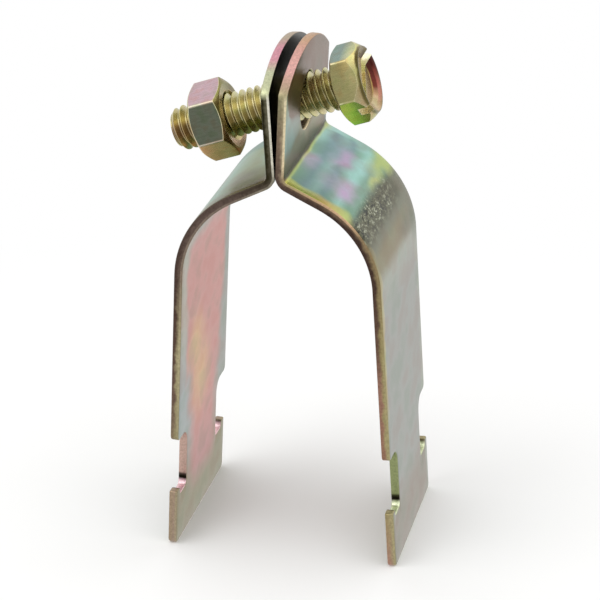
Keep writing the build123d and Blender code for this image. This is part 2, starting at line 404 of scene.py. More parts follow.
def film_material(name, middle, margins, clouds, scuff=None):
    """Chromated sheet: bands along its middle, the reach and tones of its two margins, clouds and a scuff.

    The bands lie across the strip, and a slow noise makes them and the clouds drift as real film does.
    """
    material, tree = new_material(name)
    flat = add(tree, "Attribute", {}, attribute_name="flat_blank").outputs["Vector"]
    drift = add(tree, "TexNoise", {0: flat, "Scale": 1 / FILM_DRIFT, "Detail": 1.5})
    drifted = add(tree, "VectorMath", {0: drift.outputs["Color"], 1: (0.5, 0.5, 0.5)}, operation="SUBTRACT")
    steady = add(tree, "VectorMath", {0: drifted, 1: BAND_DRIFT, 2: flat}, operation="MULTIPLY_ADD")
    moved = add(tree, "VectorMath", {0: drifted, 1: CLOUD_DRIFT, 2: flat}, operation="MULTIPLY_ADD")
    place = add(tree, "SeparateXYZ", {0: steady})
    across = add(tree, "SeparateXYZ", {0: moved}).outputs[1]
    colour = along(tree, place, middle)
    for side, reach, tones in margins:
        outwards = add(tree, "Math", {0: across, 1: side}, operation="MULTIPLY")
        width = along(tree, place, reach)
        start = add(tree, "Math", {0: width, 1: -MARGIN_START, 2: half_width}, operation="MULTIPLY_ADD")
        full = add(tree, "Math", {0: width, 1: -MARGIN_FULL, 2: half_width}, operation="MULTIPLY_ADD")
        share = add(tree, "MapRange", {0: outwards, 1: start, 2: full}, interpolation_type="SMOOTHSTEP")
        colour = add(tree, "Mix", {0: share, 6: colour, 7: along(tree, place, tones)})
    for mm, side, length, width, tone, strength in clouds:
        spot = add(tree, "Mapping", {0: moved, 1: (mm, side, 0), 3: (length, width, CLOUD_HEIGHT)},
                   vector_type="TEXTURE")
        ball = add(tree, "TexGradient", {0: spot}, gradient_type="SPHERICAL")
        share = add(tree, "MapRange", {0: ball, 4: strength}, interpolation_type="SMOOTHSTEP")
        colour = add(tree, "Mix", {0: share, 6: colour, 7: paint(tone)})
    slanted = add(tree, "Mapping", {0: flat, 2: (0, 0, PATCH_SLANT), 3: [1 / size for size in FILM_PATCH]})
    patches = add(tree, "TexNoise", {0: slanted, "Scale": 1.0, "Detail": 2.5, "Roughness": 0.5})
    tints = add(tree, "ValToRGB", {0: patches},
                stops=[(0.36, "#faeeea"), (0.5, "#ffffff"), (0.64, "#ebf4eb")])
    colour = add(tree, "Mix", {0: 1.0, 6: colour, 7: tints}, blend_type="MULTIPLY")
    grain = add(tree, "TexNoise", {0: flat, "Scale": 1 / SHEET_GRAIN, "Detail": 4.0, "Roughness": 0.7})
    colour = grained(tree, colour, grain, SHEET_SHADES)
    waves = add(tree, "TexNoise", {0: flat, "Scale": 1 / SHEET_WAVE, "Detail": 1.0})
    height = add(tree, "Math", {0: waves, 1: WAVE_RELIEF, 2: grain}, operation="MULTIPLY_ADD")
    rough = add(tree, "MapRange", {0: grain, 1: NOISE_LEAST, 2: NOISE_MOST, 3: SHEET_ROUGHNESS[0],
                                   4: SHEET_ROUGHNESS[1]})
    if scuff:
        # Dark and bright flecks, thickest at the front and thinning out towards the back of the strip.
        rubbed = add(tree, "MapRange", {0: patches, 1: SCUFF_PATCHES[0], 2: SCUFF_PATCHES[1],
                                        3: SCUFF_LIGHT})
        window = add(tree, "Math", {0: along(tree, place, scuff), 1: rubbed}, operation="MULTIPLY")
        frontwards = add(tree, "MapRange", {0: across, 1: SCUFF_FADED, 2: SCUFF_FULL, 3: SCUFF_FAINT})
        window = add(tree, "Math", {0: window, 1: frontwards}, operation="MULTIPLY")
        fine = add(tree, "Mapping", {0: flat, 3: [1 / size for size in SCUFF_FLECK]})
        specks = add(tree, "TexNoise", {0: fine, "Scale": 1.0, "Detail": 3.0, "Roughness": 0.7})
        dug = add(tree, "ValToRGB", {0: specks}, stops=[(0.42, SCUFF_DARK), (0.48, "dark_moss"),
                                                        (0.56, "dark_moss"), (0.63, SCUFF_BRIGHT)])
        colour = add(tree, "Mix", {0: window, 6: colour, 7: dug})
        dents = add(tree, "Math", {0: window, 1: specks}, operation="MULTIPLY")
        height = add(tree, "Math", {0: dents, 1: DENT_RELIEF, 2: height}, operation="MULTIPLY_ADD")
    plated(tree, colour, rough, height, SHEET_BUMP)
    return material


# Yellow chromate on rolled sheet, the right half's outer side. It gives the eye a dull metal gloss over
# mauve on the ear, olive in the bend darkened by a painted reflection, then sea green, ice and lilac on
# the shoulder, lemon round its borders, a dark band that the bending tool has scuffed, and a quiet ash
# grey down the leg.
right_outer = film_material(
    "yellow_zinc_right_outer",
    middle=[
        (-20, "dark_mauve"), (-14, "mauve"), (-8, "mauve"), (-6, "khaki"), (-2.6, "khaki"),
        (-0.8, "olive_brown"), (0.5, "bend_olive_reflection"), (1.5, "bend_olive_reflection"), (2.3, "yellow_green"),
        (3.4, "sea_green"), (5.6, "steel_blue"), (7.4, "mist"), (9.0, "steel_blue"), (10.6, "sea_green"),
        (11.9, "ice"), (13.4, "sea_green"), (15.0, "sea_green"), (16.6, "dark_moss"), (19.2, "dark_moss"),
        (21.0, "moss"), (22.6, "khaki"), (24.6, "olive_grey"), (27.0, "sage"), (33, "ash"), (66, "ash"),
        (72, "warm_ash"), (81, "warm_ash"),
    ],
    margins=[
        (-1,
         [(-20, 0.12), (-10, 0.12), (-7, 1.5), (-5, 1.4), (-2, 0.2), (3, 0.22), (9, 0.32), (14, 0.32),
          (18, 0.18), (30, 0.16), (50, 0.1), (81, 0.1)],
         [(-20, "straw"), (-9, "pale_blue"), (-4.5, "pale_blue"), (-2.5, "khaki"), (0.5, "bend_olive_reflection"),
          (1.6, "olive_brown"), (2.2, "lemon"), (6, "yellow_green"), (10, "amber"), (14, "yellow_green"),
          (16, "moss"), (20, "khaki"), (28, "straw"), (46, "straw"), (54, "sage"), (81, "khaki")]),
        (1,
         [(-20, 0.1), (-9, 0.2), (-7, 0.9), (-4, 0.8), (-1, 0.15), (3, 0.2), (12, 0.3), (14, 0.5),
          (26, 0.7), (34, 0.25), (81, 0.2)],
         [(-20, "mauve"), (-9, "mauve"), (-7, "pale_blue"), (-3, "pale_blue"), (0.5, "bend_olive_reflection"),
          (2.4, "yellow_green"), (4.0, "ice"), (11.5, "sea_green"), (13.0, "yellow_green"),
          (15.6, "yellow_green"), (17.0, "moss"), (26, "moss"), (30, "sage"), (81, "sage")]),
    ],
    clouds=[
        (8.6, 5.5, 3.4, 7.5, "lilac", 1.0), (12.2, -6.8, 3.2, 7.5, "lilac", 1.0),
        (4.4, -2.4, 3.2, 6.0, "lilac", 0.55), (8.8, -6.0, 3.0, 6.0, "lilac", 0.4),
        (6.2, 7.5, 4.4, 9.0, "steel_blue", 0.8), (3.2, 11.0, 2.4, 7.0, "ice", 0.7),
        (11.6, 2.0, 2.4, 9.0, "ice", 0.8), (11.0, 13.0, 2.6, 5.0, "ice", 0.5),
        (13.6, 11.5, 2.6, 8.0, "yellow_green", 1.0), (15.0, 5.5, 1.8, 7.0, "yellow_green", 0.9),
        # The dark moss cloud on the ear at -13 mm is painted shadow and reflection of the screw beside it.
        (24.0, 8.5, 3.4, 9.0, "bronze", 1.0), (-13.0, -9.0, 4.5, 5.0, "dark_moss", 0.9),
    ],
    scuff=[(14.6, 0.0), (16.4, 0.95), (18.8, 0.95), (20.6, 0.0)],
)

# The same film on the right half's pipe side: painted shade between the ears, then khaki, sage, a peach and
# rose flush on the leg, and khaki at the foot.
right_inner = film_material(
    "yellow_zinc_right_inner",
    middle=[(-20, "shadow"), (-1, "shadow"), (3, "khaki"), (24, "sage"), (40, "peach"), (58, "rose"),
            (72, "khaki"), (81, "khaki")],
    margins=[
        (side,
         [(-20, 0.3), (81, 0.5)],
         [(-20, "shadow"), (-1, "shadow"), (3, "moss"), (30, "sage"), (81, "khaki")])
        for side in (-1, 1)
    ],
    clouds=[(50, 3, 18, 10, "sage", 0.6)],
)

# The left half's pipe side: painted shade between the ears, then a clear rose flush down the leg with peach
# in its middle, between pearl and grey margins that widen towards an olive grey foot.
left_inner = film_material(
    "yellow_zinc_left_inner",
    middle=[(-20, "shadow"), (-1, "shadow"), (3, "khaki"), (20, "sage"), (24.5, "rose"), (60, "rose"),
            (70, "deep_rose"), (75, "olive_grey"), (81, "olive_grey")],
    margins=[
        (-1,
         [(-20, 0.3), (24, 0.56), (36, 0.52), (42, 0.48), (50, 0.9), (62, 1.25), (74, 1.3), (81, 1.1)],
         [(-20, "shadow"), (-1, "shadow"), (3, "moss"), (20, "pearl"), (38, "pearl"), (50, "cloud_grey"),
          (62, "cloud_grey"), (70, "olive_grey"), (81, "olive_grey")]),
        (1,
         [(-20, 0.3), (24, 0.3), (34, 0.4), (42, 0.6), (52, 0.88), (64, 1.05), (74, 1.1), (81, 1.1)],
         [(-20, "shadow"), (-1, "shadow"), (3, "moss"), (22, "ash"), (60, "ash"), (70, "olive_grey"),
          (81, "olive_grey")]),
    ],
    clouds=[(44, -5.5, 9, 7, "peach", 1.0), (52, -2.0, 11, 9, "peach", 1.0)],
)

# The left half's outer side: mauve ear, olive darkened by a painted reflection in the bend, olive and sea
# green over the shoulder, and ash down the leg.
left_outer = film_material(
    "yellow_zinc_left_outer",
    middle=[(-20, "mauve"), (-5, "khaki"), (0.5, "bend_olive_reflection"), (2.4, "bronze"), (5, "olive_green"),
            (9, "olive_green"), (14, "sea_green"), (22, "sage"), (30, "ash"), (81, "ash")],
    margins=[
        (-1,
         [(-20, 0.2), (2, 0.4), (20, 0.5), (81, 0.2)],
         [(-20, "straw"), (1, "olive_brown"), (3, "khaki"), (12, "moss"), (20, "khaki"), (81, "straw")]),
        (1,
         [(-20, 0.2), (2, 0.5), (20, 0.8), (81, 0.2)],
         [(-20, "mauve"), (1, "olive_brown"), (3, "khaki"), (8, "deep_teal"), (16, "deep_teal"),
          (24, "sage"), (81, "sage")]),
    ],
    clouds=[(7, 2, 5, 9, "sea_green", 0.6), (10, -8, 6, 7, "bronze", 0.9)],
)

# The sheared wall is duller and more broken than the faces: blotches of 1.4 mm, and tears that are drawn
# 0.4 mm wide, coarser than real ones, so that they show. Its tones change over unevenly from the pipe
# side's to the outer side's, at 1.05 to 1.75 mm through the sheet with the sway added.
EDGE_CLOUD = 1.4286
EDGE_TEAR = 0.3846
EDGE_SWAY = 1.2
EDGE_CHANGE = (1.05, 1.75)
RIM_HIGHLIGHT_SHARE = 0.9
EDGE_ROUGHNESS = 0.42
EDGE_SHADES = (0.74, 1.22)
EDGE_BUMP = 0.5
NECK_START = 1.2
NECK_FULL = 2.0
HOOK_SHADE = "#1a170f"


def edge_material(name, crown, outer_side, pipe_side, rim, neck, pocket_highlight):
    """Sheared wall of the sheet, with a row of tones beside each face of the sheet.

    The crown is the ear's arch from the front to the back. The rim is a painted highlight along the rolled
    rim of one face, with the heights in the sheet where it starts and is full. The neck is the wall inside
    a
    notch: painted shade at the level of the hook's tip, and a painted highlight in the hollow behind the
    hook.
    """
    material, tree = new_material(name)
    flat = add(tree, "Attribute", {}, attribute_name="flat_blank").outputs["Vector"]
    place = add(tree, "SeparateXYZ", {0: flat})
    cloud = add(tree, "TexNoise", {0: flat, "Scale": 1 / EDGE_CLOUD, "Detail": 3.0})
    depth = add(tree, "Math", {0: cloud, 1: EDGE_SWAY, 2: place.outputs[2]}, operation="MULTIPLY_ADD")
    share = add(tree, "MapRange", {0: depth, 1: EDGE_CHANGE[0], 2: EDGE_CHANGE[1]},
                interpolation_type="SMOOTHSTEP")
    colour = add(tree, "Mix", {0: share, 6: along(tree, place, pipe_side),
                               7: along(tree, place, outer_side)})
    # The rim tones are a painted highlight along the rolled rim of one face.
    rim_start, rim_full, rim_highlight_tones = rim
    on_rim_highlight = add(tree, "MapRange", {0: place.outputs[2], 1: rim_start, 2: rim_full, 4: RIM_HIGHLIGHT_SHARE})
    out = add(tree, "Math", {0: place.outputs[1]}, operation="ABSOLUTE")
    inwards = add(tree, "MapRange", {0: out, 1: half_width - NECK_START, 2: half_width - NECK_FULL})
    low = add(tree, "Math", {0: place, 1: notch_top - TAB_CORNER}, operation="GREATER_THAN")
    on_neck = add(tree, "Math", {0: inwards, 1: low}, operation="MULTIPLY")
    # Painted shade at the level of the hook's tip, and a painted highlight in the hollow behind the hook.
    neck_tone = along(tree, place, [(hook_top - 1.1, neck), (hook_top - 0.6, HOOK_SHADE),
                                    (hook_top + 0.3, HOOK_SHADE), (hook_top + 0.7, pocket_highlight),
                                    (hook_top + 1.2, pocket_highlight), (hook_top + 1.6, neck)])
    high = add(tree, "MapRange", {0: place, 1: 1.0 - EAR_SIDE, 2: -0.2 - EAR_SIDE})
    from_front = add(tree, "MapRange", {0: place.outputs[1], 1: -half_width, 2: half_width})
    arch = add(tree, "ValToRGB", {0: from_front}, stops=crown)
    for share, tone in ((on_rim_highlight, along(tree, place, rim_highlight_tones)), (on_neck, neck_tone), (high, arch)):
        colour = add(tree, "Mix", {0: share, 6: colour, 7: tone})
    tears = add(tree, "TexNoise", {0: flat, "Scale": 1 / EDGE_TEAR, "Detail": 4.0, "Roughness": 0.7})
    colour = grained(tree, colour, tears, EDGE_SHADES)
    plated(tree, colour, EDGE_ROUGHNESS, tears, EDGE_BUMP)
    return material


# Sheared edge of the right half: rougher and browner than the faces, with a painted straw highlight on the
# rim along the outer face where the sheet rolled into the die, a rose flush on the ear's crown and olive in
# the notches, with painted shade at the hook's tip and a painted highlight in the hollow behind the hook.
right_edge = edge_material(
    "sheared_zinc_right",
    crown=[(0.0, "#a39a78"), (0.16, "#e3b0a8"), (0.34, "#d9a69a"), (0.5, "#c9a17c"), (1.0, "#a08a72")],
    outer_side=[(-14, "#b3a988"), (-2, "#a5957a"), (3, "#6b5646"), (14, "#74604e"), (26, "#8a7a58"),
                (36, "#97895f"), (60, "#a89f74"), (69, "#a59a74"), (81, "#a08f74")],
    pipe_side=[(-14, "#8c8768"), (-6, "#7d6a58"), (0, "#5a4a40"), (12, "#43352f"), (27, "#4c3b32"),
               (38, "#6c5546"), (46, "#9a7464"), (60, "#94715c"), (69, "#9d9268"), (81, "#a87f72")],
    rim=(1.06, 1.16, [(-14, "#e2d6b2"), (-2, "#e6d4ae"), (0.5, "#a08c6e"), (3, "#a89a72"), (8, "#c9a884"),
                      (15, "#d1ae8a"), (18, "#8f7a5c"), (28, "#8f805c"), (40, "#a59a70"), (81, "#a89e78")]),
    neck="#8f976a",
    pocket_highlight="#f0f7d2",
)

# Sheared edge of the left half: nearly black beside the ear, brown round the pipe, with a painted highlight
# on its rim along the pipe side, a pink flush on the ear's crown and rose in the notches, with painted
# shade at the hook's tip and a painted highlight in the hollow behind the hook.
left_edge = edge_material(
    "sheared_zinc_left",
    crown=[(0.0, "#c3c69f"), (0.14, "#c3c6a6"), (0.24, "#d59aa6"), (0.36, "#d295a2"), (0.5, "#b5a48c"),
           (1.0, "#a08a72")],
    outer_side=[(-14, "#242210"), (0, "#2e2b1a"), (12, "#5a4c45"), (27, "#4b3b34"), (40, "#56433a"),
                (50, "#6b554b"), (60, "#8c7c62"), (69, "#a38f78"), (81, "#9f8c74")],
    pipe_side=[(-14, "#6e6b56"), (0, "#4c4638"), (12, "#64554e"), (27, "#65544a"), (36, "#8f8266"),
               (44, "#aaa07c"), (60, "#9a8f6c"), (69, "#a48e7a"), (81, "#a08c7c")],
    rim=(0.46, 0.36, [(-14, "#e6e3d4"), (-2, "#dcd8c6"), (1, "#8f8a78"), (10, "#7d7064"), (27, "#8a7a6a"),
                      (40, "#b3aa86"), (60, "#a39a78"), (81, "#a8977f")]),
    neck="#c2a497",
    pocket_highlight="#ffdbe1",
)
for piece, materials in ((right_half, (right_outer, right_inner, right_edge)),
                         (left_half, (left_outer, left_inner, left_edge))):
    for material in materials:
        piece.data.materials.append(material)

# Screw: hexagon head machine screw of carbon steel, cold headed with a screwdriver slot sawn across the
# head, and its 5/16 inch coarse thread rolled right up under the head. It passes through both ears on a
# slant, because the ears aren't square to it.
SCREW_TILT = radians(18.4)
SCREW_CENTRE = Vector((0, 0, 29.0249))
THREAD_RADIUS = 3.9
THREAD_PITCH = 25.4 / 18
THREAD_DEPTH = 0.6134 * THREAD_PITCH
THREAD_STEPS = 40
SCREW_LENGTH = 31.0
HEAD_SEAT = 8.5
HEAD_HEIGHT = 5.2
POINT_RADIUS = 3.05
POINT_LENGTH = 0.95
HEX_ACROSS_FLATS = 12.3
HEX_EDGE_RADIUS = 0.45
FACE_CHAMFER = radians(30)
HEAD_CHAMFER = radians(55)
HEAD_CORNER = radians(49.3)
HEAD_RIM_RADIUS = 5.75
HEAD_SEAT_RADIUS = 5.8
DISH_RADIUS = 5.5
DISH_FLOOR_RADIUS = 3.9
DISH_DEPTH = 1.2
SLOT_WIDTH = 1.9
SLOT_DEPTH = 2.2
FLAT_CUTS = 14
HEX_EDGE_STEPS = 4
CAP_INSET = 0.2
SHANK_OVERLAP = 0.5
HEAD_ROUNDING = 0.26
ROUNDED_ANGLE = radians(20)
SHARP_ANGLE = radians(24)
DISH_STEPS = 96


def thread_rod(start, end, swell):
    """Closed threaded bar along X, right handed. Swell moves its whole surface outwards.

    The profile runs over one pitch: a rounded root, a 60 degree flank, a rounded crest and back.
    """
    crest = THREAD_RADIUS + swell
    root = THREAD_RADIUS - THREAD_DEPTH + swell
    profile = [
        (0.0, root),
        (0.07, root + 0.01),
        (0.115, root + 0.07),
        (0.41, crest - 0.10),
        (0.445, crest - 0.02),
        (0.50, crest),
        (0.555, crest - 0.02),
        (0.59, crest - 0.10),
        (0.885, root + 0.07),
        (0.93, root + 0.01),
        (1.0, root),
    ]
    first_turn = int(start // THREAD_PITCH) - 1
    turns = int((end - start) // THREAD_PITCH) + 4
    bm = bmesh.new()
    for share, radius in profile:
        bm.verts.new(((first_turn + share) * THREAD_PITCH, 0, radius))
    bm.verts.ensure_lookup_table()
    for lower, upper in zip(bm.verts[:-1], bm.verts[1:]):
        bm.edges.new((lower, upper))
    bmesh.ops.spin(bm, geom=bm.verts[:] + bm.edges[:], cent=(0, 0, 0), axis=(1, 0, 0),
                   dvec=(THREAD_PITCH / THREAD_STEPS, 0, 0), angle=2 * pi * turns,
                   steps=THREAD_STEPS * turns)
    bmesh.ops.remove_doubles(bm, verts=bm.verts, dist=2 * MERGE_DISTANCE)
    for place, way in ((start, -1), (end, 1)):
        bmesh.ops.bisect_plane(bm, geom=bm.verts[:] + bm.edges[:] + bm.faces[:], dist=MERGE_DISTANCE / 2,
                               plane_co=(place, 0, 0), plane_no=(way, 0, 0), clear_outer=True)
        rim = [e for e in bm.edges if len(e.link_faces) == 1
               and all(abs(v.co.x - place) < 10 * MERGE_DISTANCE for v in e.verts)]
        bmesh.ops.edgeloop_fill(bm, edges=rim)
    bmesh.ops.recalc_face_normals(bm, faces=bm.faces)
    return bm


def set_reach(vert, wanted):
    """Moves a vertex straight out from the X axis, or in towards it, to the wanted distance."""
    reach = hypot(vert.co.y, vert.co.z)
    vert.co.y *= wanted / reach
    vert.co.z *= wanted / reach


def limit_radius(bm, limit):
    """Draws every vertex in to the radius that the limit gives for its place along X."""
    for vert in bm.verts:
        most = limit(vert.co.x)
        if hypot(vert.co.y, vert.co.z) > most:
            set_reach(vert, most)


def hex_block(start, end, corner, start_radius, end_radius, end_chamfer):
    """Hexagon bar along X with rounded edges, its corners turned back by a cone at each end."""
    bm = bmesh.new()
    bmesh.ops.create_circle(bm, cap_ends=True, radius=HEX_ACROSS_FLATS / (2 * cos(pi / 6)), segments=6)
    bmesh.ops.bevel(bm, geom=bm.verts[:], offset=HEX_EDGE_RADIUS * tan(pi / 6), offset_type="OFFSET",
                    segments=HEX_EDGE_STEPS, profile=0.5, affect="VERTICES", material=-1)
    sides = [edge for edge in bm.edges if edge.calc_length() > HEX_EDGE_RADIUS]
    bmesh.ops.subdivide_edges(bm, edges=sides, cuts=FLAT_CUTS)
    first_corner = max(bm.verts, key=lambda v: v.co.length)
    turn = atan2(first_corner.co.y, first_corner.co.x)
    bmesh.ops.rotate(bm, verts=bm.verts, matrix=Matrix.Rotation(-turn, 3, "Z"))
    to_axis = Matrix(((0, 0, 1), (-cos(corner), sin(corner), 0), (sin(corner), cos(corner), 0)))
    bmesh.ops.transform(bm, matrix=Matrix.Translation((start, 0, 0)) @ to_axis.to_4x4(), verts=bm.verts)
    grown = bmesh.ops.extrude_face_region(bm, geom=bm.faces[:], use_keep_orig=True)["geom"]
    far = [item for item in grown if isinstance(item, bmesh.types.BMVert)]
    bmesh.ops.translate(bm, verts=far, vec=(end - start, 0, 0))
    bmesh.ops.recalc_face_normals(bm, faces=bm.faces)
    for place, slope, face_radius in ((start, tan(FACE_CHAMFER), start_radius),
                                      (end, -tan(end_chamfer), end_radius)):
        cap = [face for face in bm.faces if all(abs(v.co.x - place) < MERGE_DISTANCE for v in face.verts)]
        bmesh.ops.inset_region(bm, faces=cap, thickness=CAP_INSET, use_even_offset=True)
        for vert in [v for v in bm.verts if abs(v.co.x - place) < MERGE_DISTANCE]:
            if vert in cap[0].verts:
                set_reach(vert, face_radius)
            else:
                vert.co.x += slope * (hypot(vert.co.y, vert.co.z) - face_radius)
    return bm


def combine(piece, other, operation):
    """Joins or cuts the piece with another one, which is used up."""
    modifier = piece.modifiers.new(operation.lower(), "BOOLEAN")
    modifier.operation = operation
    modifier.object = other
    modifier.solver = "EXACT"
    settle(piece)
    bpy.data.objects.remove(other)


def round_edges(piece, width):
    """Rounds every edge where the surface turns by more than ROUNDED_ANGLE."""
    modifier = piece.modifiers.new("rounding", "BEVEL")
    modifier.width = width
    modifier.segments = 2
    modifier.limit_method = "ANGLE"
    modifier.angle_limit = ROUNDED_ANGLE
    settle(piece)


def settle(piece):
    """Applies the modifiers of a piece to its mesh."""
    shaped = piece.evaluated_get(bpy.context.evaluated_depsgraph_get())
    piece.data = bpy.data.meshes.new_from_object(shaped)
    piece.modifiers.clear()


def set_on_axis(piece):
    """Moves a piece made along X, in millimetres, to the slanted axis of the screw."""
    place = Matrix.Translation(SCREW_CENTRE) @ Matrix.Rotation(-SCREW_TILT, 4, "Y")
    piece.data.transform(Matrix.Scale(MILLIMETRE, 4) @ place)
    piece.data.shade_smooth()
    piece.data.set_sharp_from_angle(angle=SHARP_ANGLE)
    modifier = piece.modifiers.new("flat_normals", "WEIGHTED_NORMAL")
    modifier.keep_sharp = True
    settle(piece)


head_end = HEAD_SEAT + HEAD_HEIGHT
tip = HEAD_SEAT - SCREW_LENGTH
slot_turn = HEAD_CORNER + pi / 2
block = hex_block(HEAD_SEAT, head_end, HEAD_CORNER, HEAD_SEAT_RADIUS, HEAD_RIM_RADIUS, HEAD_CHAMFER)
screw = piece_from(block, "slotted_screw")
bm = bmesh.new()
bmesh.ops.create_cone(bm, cap_ends=True, segments=DISH_STEPS, radius1=DISH_FLOOR_RADIUS,
                      radius2=2 * DISH_RADIUS - DISH_FLOOR_RADIUS, depth=2 * DISH_DEPTH)
bmesh.ops.rotate(bm, verts=bm.verts, matrix=Matrix.Rotation(pi / 2, 3, "Y"))
bmesh.ops.translate(bm, verts=bm.verts, vec=(head_end, 0, 0))
combine(screw, piece_from(bm, "dish_cutter"), "DIFFERENCE")
bm = bmesh.new()
bmesh.ops.create_cube(bm, size=1)
bmesh.ops.scale(bm, vec=(2 * SLOT_DEPTH, 2 * HEX_ACROSS_FLATS, SLOT_WIDTH), verts=bm.verts)
bmesh.ops.rotate(bm, verts=bm.verts, matrix=Matrix.Rotation(-slot_turn, 3, "X"))
bmesh.ops.translate(bm, verts=bm.verts, vec=(head_end, 0, 0))
combine(screw, piece_from(bm, "slot_cutter"), "DIFFERENCE")
round_edges(screw, HEAD_ROUNDING)
shank = thread_rod(tip, HEAD_SEAT + SHANK_OVERLAP, 0)
limit_radius(shank, lambda x: POINT_RADIUS + (x - tip) * (THREAD_RADIUS - POINT_RADIUS) / POINT_LENGTH)
combine(screw, piece_from(shank, "shank"), "UNION")
set_on_axis(screw)
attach(screw, "screw")
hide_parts("screw")

# Finish of the screw and the nut: the same yellow chromate over bright zinc, on cold headed and tapped
# carbon steel. It is shinier than the strap and each flat has settled on a tone of its own, a flat below
# the front written brighter as a painted reflection of the floor, with a painted highlight along the
# corners and edges. The sheen of the drawn bar is finer than the picture can show and is drawn coarser.
HARDWARE_PATCH = 2.0
HARDWARE_GRAIN = (1.667, 0.25, 0.25)
HARDWARE_ROUGHNESS = (0.2, 0.34)
HARDWARE_SHADES = (0.86, 1.1)
HARDWARE_BUMP = 0.35
# The head's flats take on some of the chamfer's tone, from about 2 mm above its seat to 3.8 mm.
CHAMFER_SHARE = 0.55
CHAMFER_NEAR = 2.0
CHAMFER_FULL = 3.8
# A face counts as part of the end from the first cosine with the axis, and fully from the second. The
# zones on it have wavy and slightly blurred bounds.
END_FACE = (0.25, 0.45)
ZONE_SWAY = 0.5
ZONE_BLUR = 0.1
SLOT_FRINGE = 0.08
# A painted highlight lies along the rounded edges beyond 6 mm from the axis, and the thread is all within
# about 4 mm of it.
CORNER_HIGHLIGHT_TONE = "#e2dab6"
CORNER_HIGHLIGHT_REACH = 6.0
THREAD_REACH = 4.05
TIP_BAND = (5.0, 4.2)


